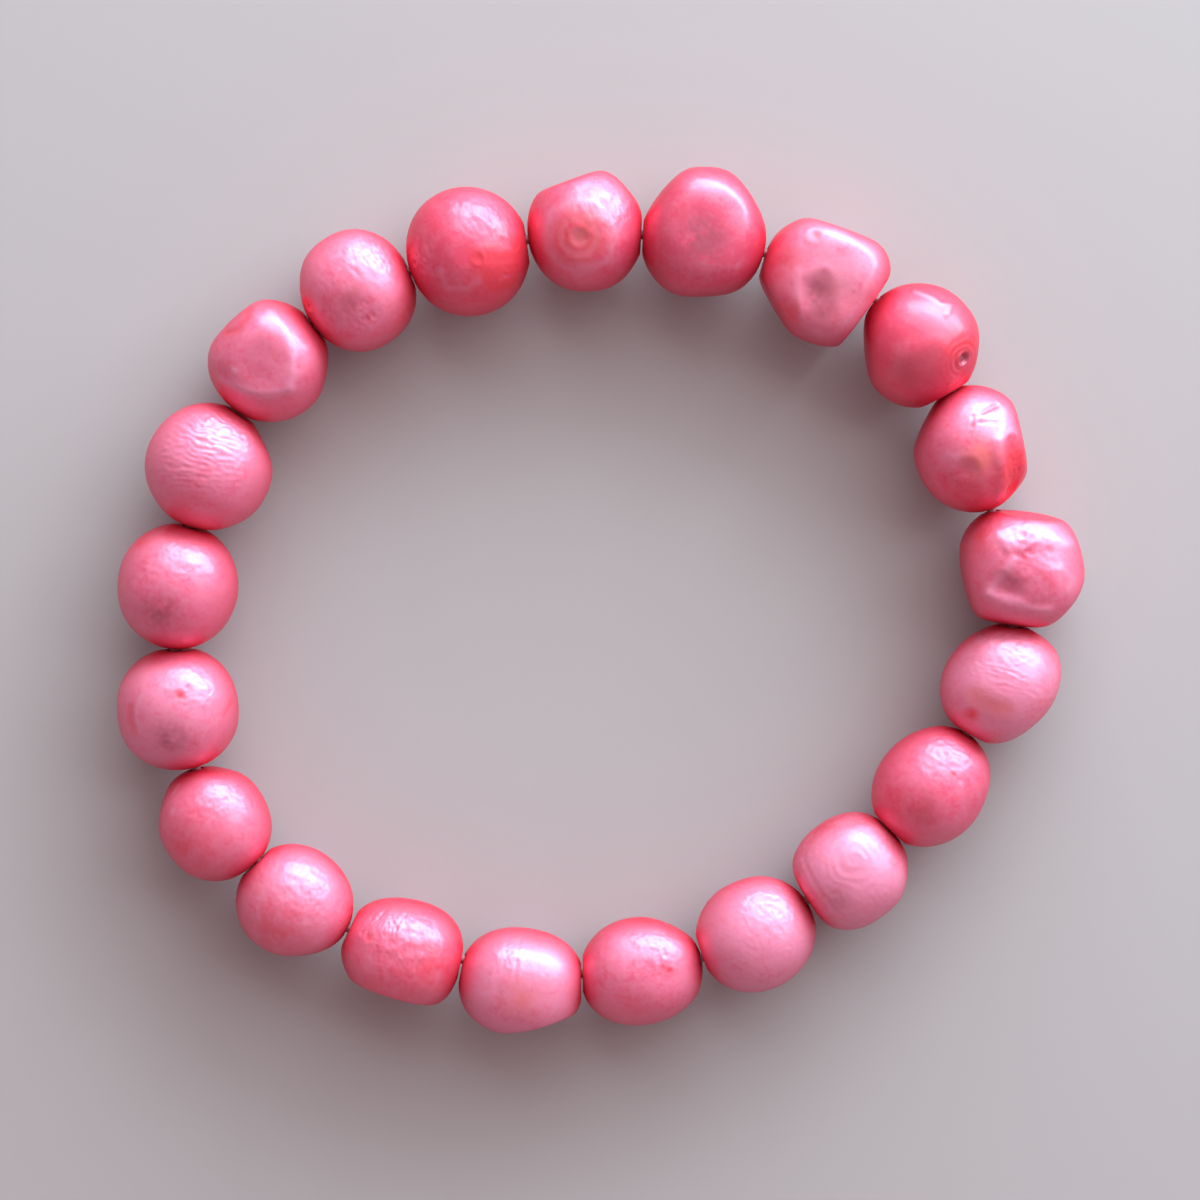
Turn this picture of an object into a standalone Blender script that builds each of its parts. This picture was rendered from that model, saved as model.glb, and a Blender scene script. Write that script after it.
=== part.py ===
"""Pearl bracelet: 21 drilled baroque pearls on one closed loop of elastic cord, lying on the floor."""

import bpy
import numpy as np

# Driving sizes, in millimetres.
LOOP_LENGTH = 64.1
LOOP_WIDTH = 56.6
PEARL_SIZE = 9.1
BORE_DIAMETER = 1.2
CORD_DIAMETER = 0.7
PEARL_GAP = 0.14
CORD_HEIGHT = 4.4

PEARL_SIDES = 20
PEARL_RINGS = 16
CORD_SIDES = 8

# Where the cord passes from one pearl to the next, clockwise from the start of pearl 01.
# Each point is a share of half the length of the cord's loop along X, and of half its width along Y.
ROUTE = [
    (-0.446, 0.881), (-0.169, 0.963), (0.101, 0.976), (0.390, 0.929), (0.649, 0.812), (0.834, 0.562),
    (0.929, 0.241), (0.989, -0.072), (0.878, -0.362), (0.708, -0.640), (0.497, -0.820), (0.249, -0.980),
    (-0.041, -1.024), (-0.328, -0.982), (-0.600, -0.900), (-0.819, -0.713), (-0.964, -0.457),
    (-1.011, -0.134), (-0.970, 0.198), (-0.863, 0.511), (-0.666, 0.727),
]

# The pearls, clockwise. Lengths are shares of half the pearl size, measured from the bore:
# out and inn are how far the pearl reaches outward and inward, tall is its half height,
# peak is how far along the bore its widest place lies. long is a share of the half bore,
# egg makes the far end fuller, full above 2 makes it squarer, and turn is in degrees in plan.
PEARLS = [
    dict(out=1.12, inn=1.02, tall=1.03, long=1.01, peak=0.02, egg=-0.02, full=2.05, turn=0),
    dict(out=1.12, inn=0.91, tall=0.97, long=1.01, peak=0.02, egg=0.02, full=2.10, turn=0),
    dict(out=1.26, inn=0.96, tall=1.04, long=1.01, peak=-0.02, egg=0.00, full=2.15, turn=0),
    dict(out=0.95, inn=1.12, tall=0.98, long=1.09, peak=0.10, egg=0.00, full=2.50, turn=0),
    dict(out=1.06, inn=0.98, tall=0.98, long=1.01, peak=0.07, egg=0.04, full=2.05, turn=0),
    dict(out=1.00, inn=0.98, tall=0.97, long=1.01, peak=-0.02, egg=0.00, full=2.05, turn=0),
    dict(out=1.31, inn=0.75, tall=0.98, long=1.09, peak=0.05, egg=0.03, full=2.35, turn=0),
    dict(out=1.08, inn=0.78, tall=0.92, long=1.05, peak=0.00, egg=0.00, full=2.15, turn=-14),
    dict(out=0.94, inn=0.90, tall=0.93, long=1.02, peak=0.03, egg=0.03, full=2.05, turn=-6),
    dict(out=0.96, inn=0.89, tall=0.94, long=1.04, peak=0.04, egg=0.00, full=2.30, turn=0),
    dict(out=1.02, inn=0.87, tall=0.94, long=1.01, peak=0.02, egg=0.02, full=2.10, turn=0),
    dict(out=0.97, inn=0.83, tall=0.90, long=1.01, peak=0.03, egg=0.02, full=2.20, turn=0),
    dict(out=1.17, inn=0.65, tall=0.93, long=1.04, peak=-0.02, egg=0.00, full=2.25, turn=0),
    dict(out=1.02, inn=0.76, tall=0.94, long=1.03, peak=0.02, egg=-0.05, full=2.30, turn=0),
    dict(out=1.11, inn=0.78, tall=0.93, long=1.03, peak=0.03, egg=0.02, full=2.05, turn=0),
    dict(out=1.15, inn=0.69, tall=0.93, long=1.04, peak=0.00, egg=0.00, full=2.20, turn=0),
    dict(out=1.11, inn=0.92, tall=0.99, long=1.01, peak=0.02, egg=0.00, full=2.12, turn=0),
    dict(out=1.06, inn=0.95, tall=1.00, long=1.01, peak=0.02, egg=0.00, full=2.02, turn=0),
    dict(out=1.09, inn=1.03, tall=1.02, long=1.01, peak=0.01, egg=0.00, full=2.02, turn=0),
    dict(out=1.16, inn=0.87, tall=0.98, long=1.02, peak=0.02, egg=0.02, full=2.10, turn=0),
    dict(out=1.17, inn=0.84, tall=0.97, long=1.02, peak=0.00, egg=0.00, full=2.20, turn=0),
]

# The flats that some pearls have. around is in degrees in plan from the way the cord runs towards
# the outside, up is in degrees above the floor, reach is a share of half the pearl size from the
# middle of the pearl, and edge says how crisp its border is.
FLATS = [
    dict(pearl=2, around=107, up=0, reach=0.86, edge=28),
    dict(pearl=2, around=35, up=0, reach=0.99, edge=24),
    dict(pearl=3, around=40, up=0, reach=1.00, edge=16),
    dict(pearl=3, around=150, up=0, reach=0.99, edge=16),
    dict(pearl=3, around=80, up=86, reach=0.91, edge=16),
    dict(pearl=3, around=282, up=0, reach=1.05, edge=20),
    dict(pearl=4, around=92, up=0, reach=0.94, edge=18),
    dict(pearl=4, around=232, up=0, reach=0.94, edge=18),
    dict(pearl=4, around=350, up=0, reach=0.91, edge=20),
    dict(pearl=4, around=140, up=0, reach=1.16, edge=20),
    dict(pearl=4, around=60, up=86, reach=0.87, edge=20),
    dict(pearl=5, around=234, up=0, reach=0.90, edge=16),
    dict(pearl=5, around=42, up=0, reach=1.02, edge=16),
    dict(pearl=6, around=83, up=0, reach=0.83, edge=18),
    dict(pearl=6, around=32, up=10, reach=1.02, edge=18),
    dict(pearl=6, around=224, up=0, reach=0.93, edge=14),
    dict(pearl=7, around=272, up=0, reach=1.00, edge=18),
    dict(pearl=7, around=338, up=8, reach=0.98, edge=16),
    dict(pearl=7, around=42, up=0, reach=1.04, edge=16),
    dict(pearl=7, around=160, up=0, reach=0.93, edge=26),
    dict(pearl=8, around=60, up=0, reach=0.92, edge=14),
    dict(pearl=8, around=228, up=0, reach=0.95, edge=20),
    dict(pearl=10, around=355, up=0, reach=0.88, edge=16),
    dict(pearl=10, around=132, up=0, reach=0.98, edge=16),
    dict(pearl=12, around=236, up=0, reach=0.93, edge=16),
    dict(pearl=12, around=318, up=0, reach=1.05, edge=16),
    dict(pearl=13, around=112, up=0, reach=0.705, edge=60),
    dict(pearl=14, around=88, up=0, reach=0.68, edge=60),
    dict(pearl=15, around=135, up=0, reach=0.90, edge=14),
    dict(pearl=16, around=42, up=0, reach=0.95, edge=14),
    dict(pearl=16, around=318, up=0, reach=0.92, edge=14),
    dict(pearl=19, around=318, up=0, reach=1.02, edge=16),
    dict(pearl=20, around=88, up=0, reach=0.92, edge=18),
    dict(pearl=20, around=100, up=34, reach=0.97, edge=20),
    dict(pearl=20, around=90, up=86, reach=0.88, edge=20),
    dict(pearl=20, around=307, up=0, reach=0.99, edge=16),
    dict(pearl=21, around=150, up=0, reach=1.01, edge=14),
]

# Broad hollows, and bumps where depth is below zero. depth is a share of half the pearl size.
HOLLOWS = [
    dict(pearl=2, around=265, up=80, depth=0.035, spread=15),
    dict(pearl=4, around=285, up=72, depth=0.045, spread=20),
    dict(pearl=4, around=30, up=60, depth=-0.015, spread=16),
    dict(pearl=5, around=28, up=42, depth=0.050, spread=16),
    dict(pearl=6, around=140, up=42, depth=0.030, spread=16),
    dict(pearl=7, around=160, up=10, depth=0.100, spread=26),
    dict(pearl=7, around=300, up=66, depth=0.050, spread=24),
    dict(pearl=8, around=350, up=50, depth=0.030, spread=18),
    dict(pearl=8, around=138, up=0, depth=-0.050, spread=22),
    dict(pearl=12, around=170, up=62, depth=0.025, spread=18),
    dict(pearl=14, around=142, up=0, depth=-0.040, spread=20),
    dict(pearl=21, around=250, up=62, depth=0.030, spread=20),
]


def direction(around, up):
    a, e = np.radians(around), np.radians(up)
    return np.array([np.cos(a) * np.cos(e), np.sin(a) * np.cos(e), np.sin(e)])


def unit(vector):
    return vector / np.linalg.norm(vector)


def route_points():
    """The joints between pearls, in plan."""
    return np.array(ROUTE) * (LOOP_LENGTH / 2, LOOP_WIDTH / 2)


class Pearl:
    """One pearl's form, in its own frame: along the bore, outward, up, from the middle of its bore."""

    def __init__(self, index, joints):
        row = PEARLS[index]
        count = len(joints)
        before, start, end, after = (joints[(index + step) % count] for step in (-1, 0, 1, 2))
        self.middle = (start + end) / 2
        self.along = unit(end - start)
        self.outward = np.array([-self.along[1], self.along[0]])
        half = PEARL_SIZE / 2
        half_bore = np.linalg.norm(end - start) / 2
        self.row = row
        self.axes = np.array([half_bore * row["long"], half * (row["out"] + row["inn"]) / 2, half * row["tall"]])
        self.centre = np.array([half * row["peak"], half * (row["out"] - row["inn"]) / 2, 0.0])
        self.flats = []
        for flat in FLATS:
            if flat["pearl"] == index + 1:
                self.flats.append((direction(flat["around"], flat["up"]), half * flat["reach"], flat["edge"]))
        self.hollows = []
        for mark in HOLLOWS:
            if mark["pearl"] == index + 1:
                aim = direction(mark["around"], mark["up"])
                self.hollows.append((aim, half * mark["depth"], np.radians(mark["spread"])))
        # The two planes that share the room at each joint with the next pearl.
        self.ends = []
        for joint, other, sign in ((end, after - end, 1), (start, start - before, -1)):
            facing = unit(self.along + unit(other)) * sign
            local = np.array([facing @ self.along, facing @ self.outward, 0.0])
            self.ends.append((local, (joint - self.middle) @ facing - PEARL_GAP / 2))

    def reach(self, aims):
        """How far the surface lies from the pearl's centre, for unit directions in rows."""
        row = self.row
        turn = np.radians(row["turn"])
        across = aims[:, 0] * np.cos(turn) + aims[:, 1] * np.sin(turn)
        outward = -aims[:, 0] * np.sin(turn) + aims[:, 1] * np.cos(turn)
        swell = 1 + row["egg"] * across
        parts = np.abs(np.stack([across, outward / swell, aims[:, 2] / swell], 1) / self.axes)
        far = (parts ** row["full"]).sum(1) ** (-1 / row["full"])
        for aim, distance, edge in self.flats:
            facing = np.maximum(aims @ aim, 1e-6)
            far = (far**-edge + (distance / facing) ** -edge) ** (-1 / edge)
        for aim, depth, spread in self.hollows:
            angle = np.arccos(np.clip(aims @ aim, -1, 1))
            far = far - depth * np.exp(-((angle / spread) ** 2))
        return far

    def inside(self, points):
        offset = points - self.centre
        far = np.linalg.norm(offset, axis=1)
        found = far < self.reach(offset / np.maximum(far, 1e-9)[:, None])
        for facing, distance in self.ends:
            found &= points @ facing < distance
        return found

    def crossing(self, starts, aims):
        """Where rays from inside the pearl leave it."""
        near = np.zeros(len(starts))
        far = np.full(len(starts), 3 * PEARL_SIZE)
        for _ in range(34):
            halfway = (near + far) / 2
            within = self.inside(starts + aims * halfway[:, None])
            near = np.where(within, halfway, near)
            far = np.where(within, far, halfway)
        return starts + aims * near[:, None]

    def rest(self):
        """Sets the centre so high that the pearl's lowest point is on the floor, below the bore."""
        steps = np.linspace(0, 2 * np.pi, 96, endpoint=False)
        falls = np.linspace(np.radians(30), np.radians(90), 40)
        around, fall = (grid.ravel() for grid in np.meshgrid(steps, falls))
        aims = np.stack([np.cos(around) * np.cos(fall), np.sin(around) * np.cos(fall), -np.sin(fall)], 1)
        lowest = (self.reach(aims) * aims[:, 2]).min()
        self.centre[2] = -lowest - CORD_HEIGHT

    def rings(self, sides, count):
        """Rings of points from the bore's mouth at the near end to the one at the far end."""
        turns = np.linspace(0, 2 * np.pi, sides, endpoint=False)
        circle = np.stack([0 * turns, np.cos(turns), np.sin(turns)], 1)
        bore = circle * BORE_DIAMETER / 2
        forward = np.tile([1.0, 0.0, 0.0], (sides, 1))
        mouths = [self.crossing(bore, -forward), self.crossing(bore, forward)]
        angles = [np.arctan2(BORE_DIAMETER / 2, mouth[:, 0]) for mouth in mouths]
        found = [mouths[0]]
        for step in range(1, count - 1):
            share = step / (count - 1)
            angle = angles[0] * (1 - share) + angles[1] * share
            aims = np.stack([np.cos(angle), circle[:, 1] * np.sin(angle), circle[:, 2] * np.sin(angle)], 1)
            found.append(self.crossing(np.zeros((sides, 3)), aims))
        found.append(mouths[1])
        return found

    def placed(self, points):
        """Points of the pearl's own frame in the bracelet's frame."""
        plan = self.middle + points[:, :1] * self.along + points[:, 1:2] * self.outward
        return np.column_stack([plan, points[:, 2] + CORD_HEIGHT])


def cord_line(joints):
    """The middle line of the cord, with its corners at the joints rounded off."""
    found = []
    count = len(joints)
    for index in range(count):
        here = joints[index]
        back = unit(joints[index - 1] - here)
        ahead = unit(joints[(index + 1) % count] - here)
        room = 1.5 * CORD_DIAMETER
        found.append(here + back * room)
        found.append(here + (back + ahead) * room / 4)
        found.append(here + ahead * room)
    return np.array(found)


def ring_faces(rows, sides, closed):
    faces = []
    for row in range(rows if closed else rows - 1):
        following = (row + 1) % rows
        for side in range(sides):
            nearby = (side + 1) % sides
            faces.append((row * sides + side, row * sides + nearby, following * sides + nearby, following * sides + side))
    return faces


def add_piece(name, points, faces, material, smooth):
    mesh = bpy.data.meshes.new(name)
    mesh.from_pydata([tuple(point) for point in points / 1000], [], faces)
    mesh.update()
    mesh.polygons.foreach_set("use_smooth", [smooth] * len(faces))
    mesh.materials.append(material)
    piece = bpy.data.objects.new(name, mesh)
    bpy.context.scene.collection.objects.link(piece)
    return piece


def make_material(name, colour, roughness):
    material = bpy.data.materials.new(name)
    material.use_nodes = True
    shader = material.node_tree.nodes["Principled BSDF"]
    shader.inputs["Base Color"].default_value = (*colour, 1)
    shader.inputs["Roughness"].default_value = roughness
    return material


for leftover in list(bpy.data.objects):
    bpy.data.objects.remove(leftover)

joints = route_points()
pearls = [Pearl(index, joints) for index in range(len(ROUTE))]
shells = []
for pearl in pearls:
    pearl.rest()
    shells.append(pearl.placed(np.concatenate(pearl.rings(PEARL_SIDES, PEARL_RINGS))))

# The middle of the whole bracelet's box goes over the origin, and its lowest point on the floor.
everything = np.concatenate(shells)
low, high = everything.min(0), everything.max(0)
shift = np.array([-(low[0] + high[0]) / 2, -(low[1] + high[1]) / 2, -low[2]])

for number, shell in enumerate(shells, 1):
    pink = make_material(f"pearl_{number:02d}_nacre", (0.76, 0.16, 0.24), 0.3)
    faces = ring_faces(PEARL_RINGS, PEARL_SIDES, True)
    add_piece(f"pearl_{number:02d}", shell + shift, faces, pink, True)

line = cord_line(joints)
ahead = np.roll(line, -1, 0) - np.roll(line, 1, 0)
ahead /= np.linalg.norm(ahead, axis=1)[:, None]
sideways = np.column_stack([-ahead[:, 1], ahead[:, 0]])
tube = []
for point, side in zip(line, sideways):
    for turn in np.linspace(0, 2 * np.pi, CORD_SIDES, endpoint=False):
        plan = point + side * np.cos(turn) * CORD_DIAMETER / 2
        tube.append((*plan, CORD_HEIGHT + np.sin(turn) * CORD_DIAMETER / 2))
clear = make_material("clear_elastic", (0.85, 0.8, 0.78), 0.35)
add_piece("elastic_cord", np.array(tube) + shift, ring_faces(len(line), CORD_SIDES, True), clear, True)
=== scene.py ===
import bpy
import numpy as np
from mathutils import Matrix, Vector


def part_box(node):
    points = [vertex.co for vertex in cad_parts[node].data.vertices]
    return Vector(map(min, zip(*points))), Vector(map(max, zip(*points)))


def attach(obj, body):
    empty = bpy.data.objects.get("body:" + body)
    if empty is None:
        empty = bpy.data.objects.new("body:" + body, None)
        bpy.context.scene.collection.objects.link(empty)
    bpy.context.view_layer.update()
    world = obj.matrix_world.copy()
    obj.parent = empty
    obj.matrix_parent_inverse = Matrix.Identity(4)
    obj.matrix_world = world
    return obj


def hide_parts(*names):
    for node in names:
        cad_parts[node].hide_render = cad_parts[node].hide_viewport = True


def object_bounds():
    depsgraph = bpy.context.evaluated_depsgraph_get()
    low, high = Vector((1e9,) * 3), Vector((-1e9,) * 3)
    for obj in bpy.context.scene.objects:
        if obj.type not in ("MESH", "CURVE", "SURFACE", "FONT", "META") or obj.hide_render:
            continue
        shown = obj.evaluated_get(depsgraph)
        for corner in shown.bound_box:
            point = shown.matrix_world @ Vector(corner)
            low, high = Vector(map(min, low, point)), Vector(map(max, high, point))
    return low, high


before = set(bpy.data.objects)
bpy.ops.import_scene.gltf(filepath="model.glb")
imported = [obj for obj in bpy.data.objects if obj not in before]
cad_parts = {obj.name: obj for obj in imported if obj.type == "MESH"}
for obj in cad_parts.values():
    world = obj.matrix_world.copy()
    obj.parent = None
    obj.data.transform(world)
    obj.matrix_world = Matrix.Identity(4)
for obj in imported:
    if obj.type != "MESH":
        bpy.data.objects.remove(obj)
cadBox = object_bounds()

# Sizes in millimetres, the same as the solid model's.
bracelet = dict(loopLength=64.1, loopWidth=56.6, pearlSize=9.1, bore=1.2, cord=0.7, gap=0.14, cordHeight=4.4)

# How fine a pearl's mesh is, then its lumps and wrinkles: how high they stand and how wide one is, in
# millimetres. The skin calms down over the last stretch before a joint and before the floor.
skin = dict(sides=168, rings=118, lump=0.018, lumpGrain=4.2, wrinkle=0.0048, fineGrain=0.52, foldGrain=0.8,
            patchGrain=3.0, warpGrain=1.6, calmAtJoint=0.35, calmAtFloor=0.4, boxMargin=0.12)

# How a mark is drawn, in shares of its own width: how uneven the edge of a line and of a spot is, where the
# rim of a hollow stands, how wide and high it is, and how far its colour runs. dishEdge says how steep the
# wall of a dish is.
drawing = dict(lineEdge=0.12, spotEdge=0.03, rimAt=1.7, rimWide=0.6, rimHigh=0.3, halo=1.5, dishEdge=6)

# The photograph looks almost straight down, from a little towards the top of the picture. Millimetres, from
# the middle of the string's own drawing: over is the place under the camera and aim the one it looks at.
view = dict(over=(0.076, 26.3), height=268.7, aim=(0.076, -0.038), frame=91.2)

# Where the cord passes from pearl to pearl, clockwise, as shares of half the loop's length and width.
routeShares = [
    (-0.446, 0.881), (-0.169, 0.963), (0.101, 0.976), (0.390, 0.929), (0.649, 0.812), (0.834, 0.562),
    (0.929, 0.241), (0.989, -0.072), (0.878, -0.362), (0.708, -0.640), (0.497, -0.820), (0.249, -0.980),
    (-0.041, -1.024), (-0.328, -0.982), (-0.600, -0.900), (-0.819, -0.713), (-0.964, -0.457),
    (-1.011, -0.134), (-0.970, 0.198), (-0.863, 0.511), (-0.666, 0.727),
]

# One row for each pearl, clockwise from the upper left. out, inn and tall are its reach outward, inward and
# up in shares of half the pearl size, and long is its length in shares of the way between its joints. full
# squares its outline, egg widens one end, peak moves its middle and turn swings it, in degrees. flats are
# (around, up, reach, edge) and hollows are (around, up, depth, spread). eye is the middle of the outline as
# the photograph shows it, and marks sit at=(along the string, outward) from there. rough scales the
# wrinkles. pale, red, warm and dark shift the dye.
# In the marks below, the pale of some ridges and patches is painted highlight, and the dark of some hollows
# and patches is painted shade and painted reflection; each is named where it stands.
pearlRows = [
    dict(out=1.12, inn=1.02, tall=1.03, long=1.01, peak=0.02, egg=-0.02, full=2.05, turn=0,
         flats=[], hollows=[],
         eye=(0.00, 0.09), rough=1.0, pale=0.12, red=0.05, dark=0.18, marks=[
             dict(kind="whorl", at=(0.13, -0.19), wide=0.22, deep=0.004, pitch=0.11, red=0.5),
             dict(kind="pit", at=(0.13, -0.19), wide=0.05, deep=0.010, red=0.8),
             dict(kind="stain", at=(0.66, -0.36), wide=0.50, red=1.1),
             dict(kind="crease", path=[(0.14, -0.22), (0.40, -0.30), (0.72, -0.34)], wide=0.07, deep=0.003,
                  red=0.5),
             dict(kind="stain", at=(0.30, -0.66), wide=0.40, red=0.6),
             dict(kind="stain", at=(-0.55, 0.45), wide=0.45, red=0.25),
             dict(kind="ridge", path=[(0.05, -0.56), (-0.18, -0.62), (-0.45, -0.50), (-0.50, -0.24)],
                  wide=0.07, deep=0.003, pale=0.5),
             dict(kind="stripes", at=(-0.76, 0.10), wide=0.30, deep=0.006, pitch=0.10, toward=5, pale=0.5),
             dict(kind="crumple", at=(0.42, 0.38), wide=0.60, deep=0.0050, pitch=0.10)]),
    dict(out=1.12, inn=0.91, tall=0.97, long=1.01, peak=0.02, egg=0.02, full=2.10, turn=0,
         flats=[(107, 0, 0.86, 28), (35, 0, 0.99, 24)], hollows=[(265, 80, 0.035, 15)],
         eye=(0.01, 0.12), rough=0.7, pale=0.28, red=0.00, dark=0.06, marks=[
             dict(kind="whorl", at=(-0.10, -0.10), wide=0.42, deep=0.004, pitch=0.19),
             dict(kind="stain", at=(-0.08, -0.08), wide=0.46, warm=0.7),
             dict(kind="pit", at=(-0.10, -0.10), wide=0.09, deep=0.010, dark=0.35),
             dict(kind="ring", at=(-0.10, -0.10), radius=0.20, wide=0.04, red=0.5),
             dict(kind="ring", at=(-0.10, -0.10), radius=0.40, wide=0.05, red=0.35),
             dict(kind="ring", at=(-0.10, -0.10), radius=0.58, wide=0.08, pale=0.4),
             dict(kind="crumple", at=(0.40, 0.46), wide=0.46, deep=0.0070, pitch=0.08),
             # Painted highlight: a pale patch where the highlight falls.
             dict(kind="stain", at=(0.34, 0.64), wide=0.45, pale=0.2)]),
    dict(out=1.26, inn=0.96, tall=1.04, long=1.01, peak=-0.02, egg=0.00, full=2.15, turn=0,
         flats=[(40, 0, 1.00, 16), (150, 0, 0.99, 16), (80, 86, 0.91, 16), (282, 0, 1.05, 20)], hollows=[],
         eye=(0.01, 0.18), rough=0.3, pale=0.10, red=0.00, dark=0.25, marks=[
             # Painted highlight: the pale along this ridge is the highlight on the top's rounded edge.
             dict(kind="ridge",
                  path=[(-0.25, 0.83), (0.10, 0.82), (0.35, 0.68), (0.56, 0.44), (0.68, 0.12)], wide=0.06,
                  deep=0.008, pale=0.4),
             dict(kind="ridge", path=[(0.00, -0.50), (0.30, -0.56), (0.60, -0.48)], wide=0.08, deep=0.003,
                  pale=0.4),
             dict(kind="pit", at=(-0.50, -0.26), wide=0.03, deep=0.004),
             # Painted reflection: a dark patch on the flat top.
             dict(kind="stain", at=(-0.04, -0.14), wide=0.42, dark=0.80),
             dict(kind="stain", at=(-0.55, 0.35), wide=0.30, red=0.25)]),
    dict(out=0.95, inn=1.12, tall=0.98, long=1.09, peak=0.10, egg=0.00, full=2.50, turn=0,
         flats=[(92, 0, 0.94, 18), (232, 0, 0.94, 18), (350, 0, 0.91, 20), (140, 0, 1.16, 20),
                (60, 86, 0.87, 20)], hollows=[(285, 72, 0.045, 20), (30, 60, -0.015, 16)],
         eye=(0.16, -0.05), rough=0.4, pale=0.48, red=0.00, dark=0.18, marks=[
             # Painted shade: a dark band down the hollow.
             dict(kind="stain", path=[(-0.12, -0.20), (-0.02, -0.40), (0.05, -0.52)], wide=0.17, dark=0.65),
             dict(kind="pit", at=(-0.46, 0.62), wide=0.08, deep=0.016, red=1.0),
             dict(kind="stain", at=(0.05, 0.30), wide=0.60, pale=0.5),
             dict(kind="stain", at=(0.10, -0.15), wide=0.50, warm=0.35, pale=0.3),
             # The dark of this crease is painted shade.
             dict(kind="crease", path=[(-0.12, -0.22), (0.00, -0.44), (0.08, -0.58)], wide=0.20, deep=0.036,
                  dark=0.25),
             # Painted highlight: the pale along both ridges.
             dict(kind="ridge", path=[(-0.52, -0.05), (-0.38, -0.42), (-0.12, -0.76), (0.18, -0.86)],
                  wide=0.07, deep=0.008, pale=0.5),
             dict(kind="ridge",
                  path=[(0.62, 0.50), (0.62, 0.10), (0.60, -0.35), (0.44, -0.72), (0.18, -0.86)], wide=0.06,
                  deep=0.006, pale=0.3),
             dict(kind="stain", at=(-0.85, 0.00), wide=0.35, red=0.7),
             dict(kind="stain", at=(-0.45, -0.75), wide=0.35, red=0.6),
             dict(kind="stain", at=(0.86, -0.15), wide=0.30, red=0.5)]),
    dict(out=1.06, inn=0.98, tall=0.98, long=1.01, peak=0.07, egg=0.04, full=2.05, turn=0,
         flats=[(234, 0, 0.90, 16), (42, 0, 1.02, 16)], hollows=[(28, 42, 0.050, 16)],
         eye=(0.10, 0.12), rough=0.5, pale=0.00, red=0.25, dark=0.14, marks=[
             dict(kind="whorl", at=(0.62, 0.32), wide=0.26, deep=0.016, pitch=0.11, pale=0.5),
             # The dark of this pit is painted shade.
             dict(kind="pit", at=(0.62, 0.34), wide=0.08, deep=0.050, dark=1.2),
             dict(kind="ring", at=(0.62, 0.34), radius=0.15, wide=0.03, pale=0.8),
             dict(kind="stain", at=(0.52, 0.44), wide=0.42, red=1.1),
             dict(kind="crumple", at=(0.80, 0.00), wide=0.18, deep=0.006, pitch=0.10, pale=0.4),
             # Painted highlight along this ridge.
             dict(kind="ridge",
                  path=[(-0.76, 0.42), (-0.50, 0.58), (-0.30, 0.62), (-0.18, 0.74), (-0.12, 0.60)],
                  wide=0.05, deep=0.020, pale=0.7),
             # The dark of this crease is painted shade and painted reflection, with a little red.
             dict(kind="crease", path=[(0.30, -0.05), (0.20, -0.30), (0.16, -0.50)], wide=0.17, deep=0.010,
                  red=0.2, dark=0.50),
             dict(kind="ridge", path=[(-0.15, -0.20), (-0.02, -0.50), (0.10, -0.75)], wide=0.12, deep=0.006,
                  pale=0.3)]),
    dict(out=1.00, inn=0.98, tall=0.97, long=1.01, peak=-0.02, egg=0.00, full=2.05, turn=0,
         flats=[(83, 0, 0.83, 18), (32, 10, 1.02, 18), (224, 0, 0.93, 14)], hollows=[(140, 42, 0.030, 16)],
         eye=(-0.01, 0.02), rough=0.5, pale=0.36, red=0.00, dark=0.07, marks=[
             # Painted highlight: the pale along these three ridges.
             dict(kind="ridge",
                  path=[(-0.66, 0.32), (-0.62, 0.60), (-0.45, 0.68), (-0.26, 0.60), (0.00, 0.45)],
                  wide=0.06, deep=0.012, pale=0.6),
             dict(kind="ridge", path=[(-0.45, 0.50), (-0.46, 0.12)], wide=0.05, deep=0.010, pale=0.6),
             dict(kind="ridge", path=[(0.00, 0.45), (0.35, 0.38), (0.70, 0.28), (0.92, 0.12)], wide=0.10,
                  deep=0.030, pale=0.3),
             dict(kind="crease", path=[(0.20, 0.62), (0.50, 0.56), (0.82, 0.40)], wide=0.14, deep=0.030,
                  red=0.5),
             # Painted highlight: a white patch.
             dict(kind="stain", at=(-0.42, 0.42), wide=0.30, pale=0.9),
             dict(kind="crease", path=[(-0.57, 0.60), (-0.53, 0.35)], wide=0.045, deep=0.020, red=0.9),
             dict(kind="crease", path=[(-0.30, 0.52), (-0.38, 0.25)], wide=0.035, deep=0.016, red=0.6),
             dict(kind="crease", path=[(-0.52, 0.18), (-0.35, 0.08)], wide=0.030, deep=0.012, red=0.6),
             dict(kind="stain", at=(0.55, 0.62), wide=0.40, red=1.2),
             dict(kind="crumple", at=(0.60, 0.55), wide=0.30, deep=0.007, pitch=0.09, red=0.4),
             dict(kind="stain", at=(0.75, -0.25), wide=0.35, red=0.6),
             dict(kind="stain", at=(0.18, 0.08), wide=0.26, warm=1.4),
             # The dark of this dent is painted shade.
             dict(kind="pit", at=(0.30, -0.18), wide=0.14, deep=0.030, dark=0.32),
             dict(kind="stain", at=(0.02, -0.32), wide=0.24, pale=0.4)]),
    dict(out=1.31, inn=0.75, tall=0.98, long=1.09, peak=0.05, egg=0.03, full=2.35, turn=0,
         flats=[(272, 0, 1.00, 18), (338, 8, 0.98, 16), (42, 0, 1.04, 16), (160, 0, 0.93, 26)],
         hollows=[(160, 10, 0.100, 26), (300, 66, 0.050, 24)],
         eye=(0.06, 0.30), rough=0.3, pale=0.55, red=0.00, marks=[
             # Painted highlight: the pale along this wavy ridge.
             dict(kind="ridge",
                  path=[(-0.22, 0.86), (-0.28, 0.66), (-0.44, 0.48), (-0.38, 0.22), (-0.50, 0.02),
                        (-0.46, -0.16), (-0.60, -0.32)], wide=0.12, deep=0.020, pale=0.5),
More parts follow.
